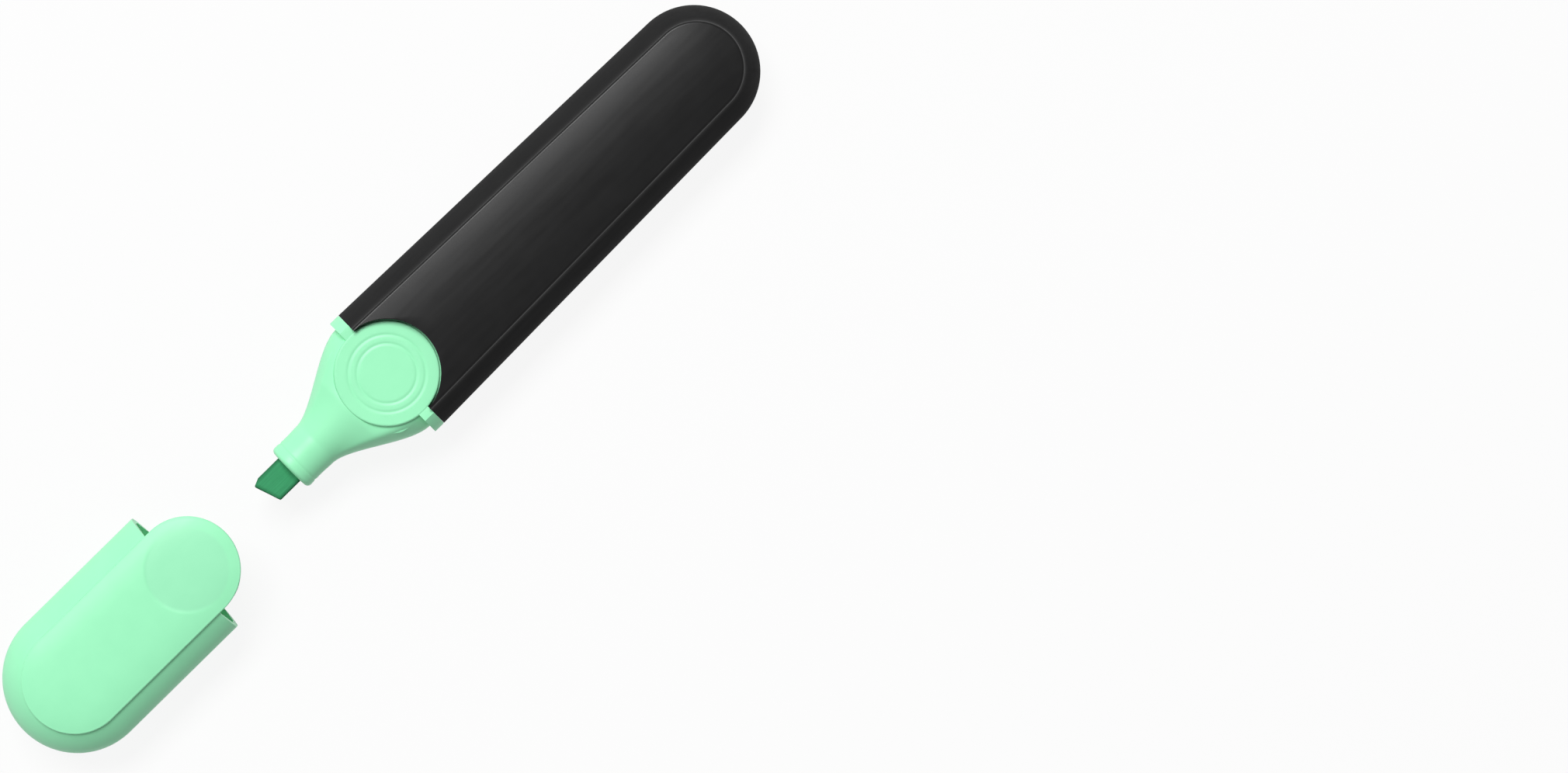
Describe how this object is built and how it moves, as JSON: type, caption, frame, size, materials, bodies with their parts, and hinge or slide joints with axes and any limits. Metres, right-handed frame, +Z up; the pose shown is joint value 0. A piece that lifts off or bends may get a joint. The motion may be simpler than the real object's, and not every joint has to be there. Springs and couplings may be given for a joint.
{
  "type": "highlighter",
  "caption": "Flat highlighter pen with a slanted chisel nib, a tapered nose section and a pull-off cap whose round tongues fit notches in the barrel.",
  "frame": {"origin": "on the table under the middle of the whole object with its cap off, which is below the collar's front face", "axes": "+X along the pen from the cap to the barrel's closed end, +Y across the broad face, +Z up out of it"},
  "size_m": [0.1724, 0.0258, 0.016],
  "materials": {
    "black_plastic": "glossy black",
    "mint_plastic": "satin mint green",
    "green_felt": "bonded fibre soaked in green ink",
    "reservoir_fibre": "ink-soaked fibre",
    "clear_film": "clear film",
    "seal_plastic": "soft matte plastic"
  },
  "bodies": {
    "pen": {"barrel": "black_plastic", "nose_section": "mint_plastic", "nib": "green_felt", "reservoir_core": "reservoir_fibre", "reservoir_film": "clear_film"},
    "cap": {"cap_shell": "mint_plastic", "cap_inner_seal": "seal_plastic"}
  },
  "joints": [
    {"name": "cap_slide", "type": "slide", "parent": "pen", "child": "cap", "axis": [1, 0, 0], "range_m": [0, 0.0474]}
  ]
}
